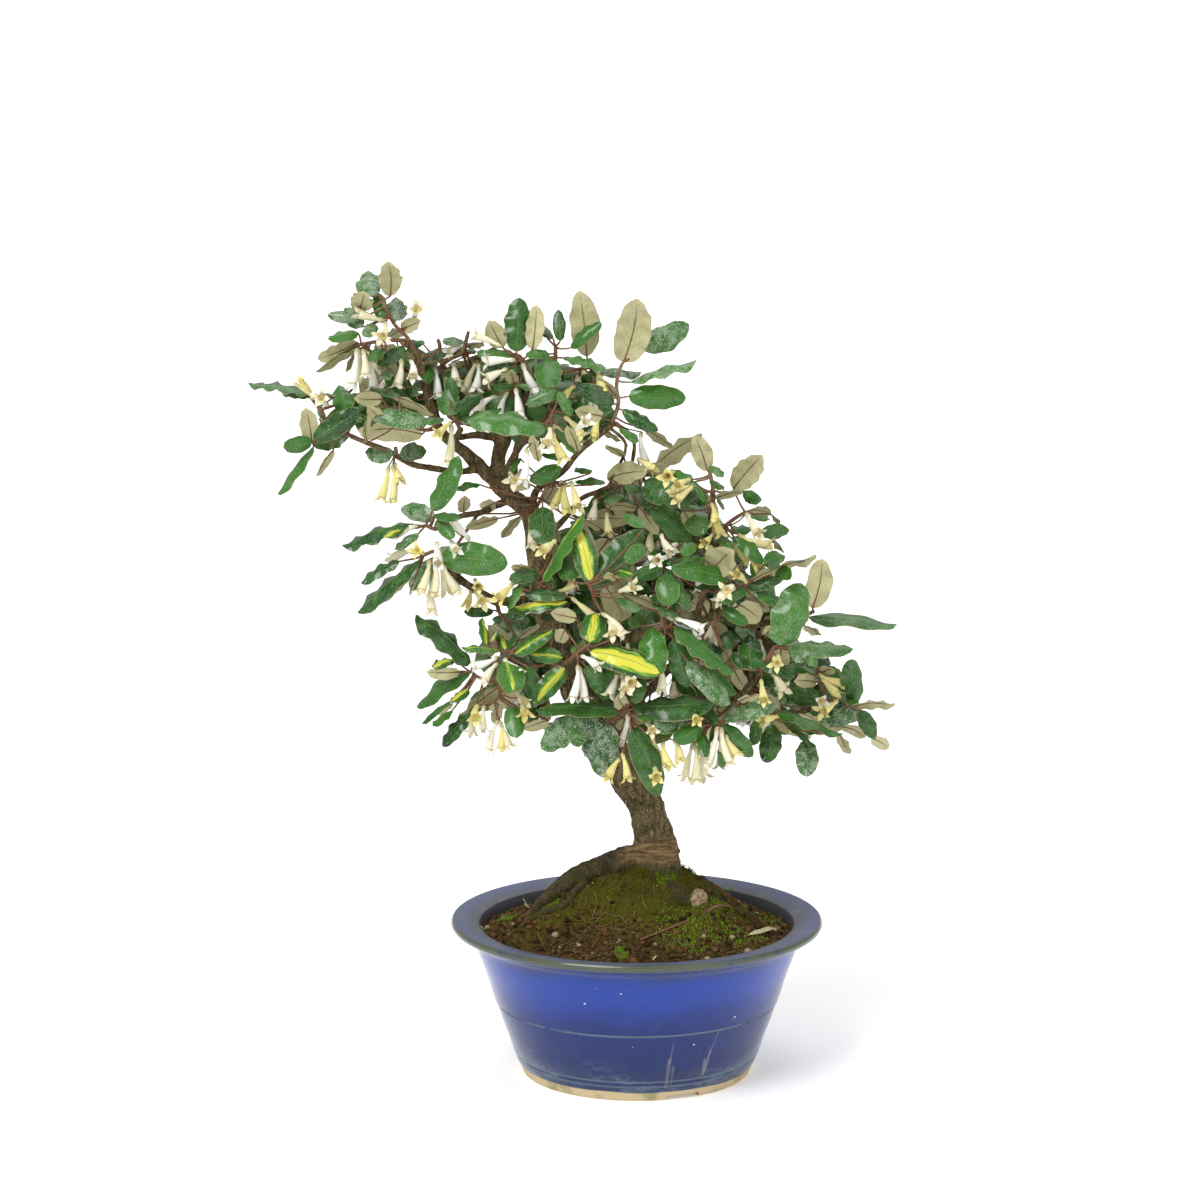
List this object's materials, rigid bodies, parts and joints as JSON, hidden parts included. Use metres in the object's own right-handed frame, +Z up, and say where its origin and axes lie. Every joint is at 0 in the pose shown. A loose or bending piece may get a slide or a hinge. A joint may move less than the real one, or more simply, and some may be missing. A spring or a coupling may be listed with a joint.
{
  "type": "flowering bonsai in a round pot",
  "caption": "Thorny olive bonsai with glossy wavy leaves and small trumpet flowers on a leaning trunk, planted in a round blue-glazed pot with a wide lip.",
  "frame": {"origin": "on the floor, under the centre of the whole object's bounding box; the pot's own axis stands at x = +34.0 mm", "axes": "+Z up; the front of the picture faces -Y, so +X is to the viewer's right"},
  "size_m": [0.3396, 0.2, 0.4378],
  "materials": {
    "blue_glaze": "glossy cobalt-blue glaze, paler at the lip, unglazed cream foot",
    "screen_plastic": "dark drain screen under the soil",
    "potting_soil": "dark crumbly soil with moss",
    "bark": "rough grey-brown bark, rusty young twigs",
    "leaf_green": "glossy deep green above, silvery khaki with brown dots below",
    "leaf_variegated": "glossy green leaves, some with a yellow centre",
    "petal": "matt cream-white to pale yellow petals"
  },
  "bodies": {
    "root": {"bunch_bottom_right": "petal", "bunch_centre": "petal", "bunch_centre_low": "petal", "bunch_centre_top": "petal", "bunch_left_bottom": "petal", "bunch_left_bottom_upper": "petal", "bunch_left_inner": "petal", "bunch_left_low": "petal", "bunch_left_middle": "petal", "bunch_middle": "petal", "bunch_right_tip": "petal", "bunch_right_top": "petal", "bunch_right_upper": "petal", "bunch_top_left_knob": "petal", "bunch_top_left_right": "petal", "bunch_top_left_tip": "petal", "bunch_top_middle": "petal", "bunch_top_middle_low": "petal", "bunch_trunk_front": "petal", "drain_screen": "screen_plastic", "far_shoot_centre": "leaf_green", "far_shoot_left": "leaf_green", "far_shoot_middle": "leaf_green", "far_shoot_right": "leaf_green", "far_shoot_top": "leaf_green", "far_shoot_upper": "leaf_green", "pot": "blue_glaze", "shoot_bottom_middle": "leaf_green", "shoot_bottom_right": "leaf_green", "shoot_centre_low": "leaf_variegated", "shoot_centre_right": "leaf_variegated", "shoot_centre_top": "leaf_green", "shoot_left_bottom": "leaf_variegated", "shoot_left_inner": "leaf_green", "shoot_left_low": "leaf_green", "shoot_left_low_upper": "leaf_green", "shoot_left_middle": "leaf_green", "shoot_left_middle_low": "leaf_green", "shoot_left_tip": "leaf_green", "shoot_left_upper": "leaf_green", "shoot_middle": "leaf_green", "shoot_middle_top": "leaf_green", "shoot_right_bottom": "leaf_green", "shoot_right_inner": "leaf_green", "shoot_right_low": "leaf_green", "shoot_right_middle": "leaf_green", "shoot_right_tip": "leaf_green", "shoot_right_tip_upper": "leaf_green", "shoot_right_top": "leaf_green", "shoot_right_upper": "leaf_green", "shoot_top_centre": "leaf_green", "shoot_top_left_inner": "leaf_green", "shoot_top_left_knob": "leaf_green", "shoot_top_left_tip": "leaf_green", "shoot_top_middle": "leaf_green", "shoot_top_right": "leaf_green", "shoot_trunk_front": "leaf_variegated", "shoot_trunk_upper": "leaf_green", "soil": "potting_soil", "trunk_and_branches": "bark"}
  },
  "joints": []
}
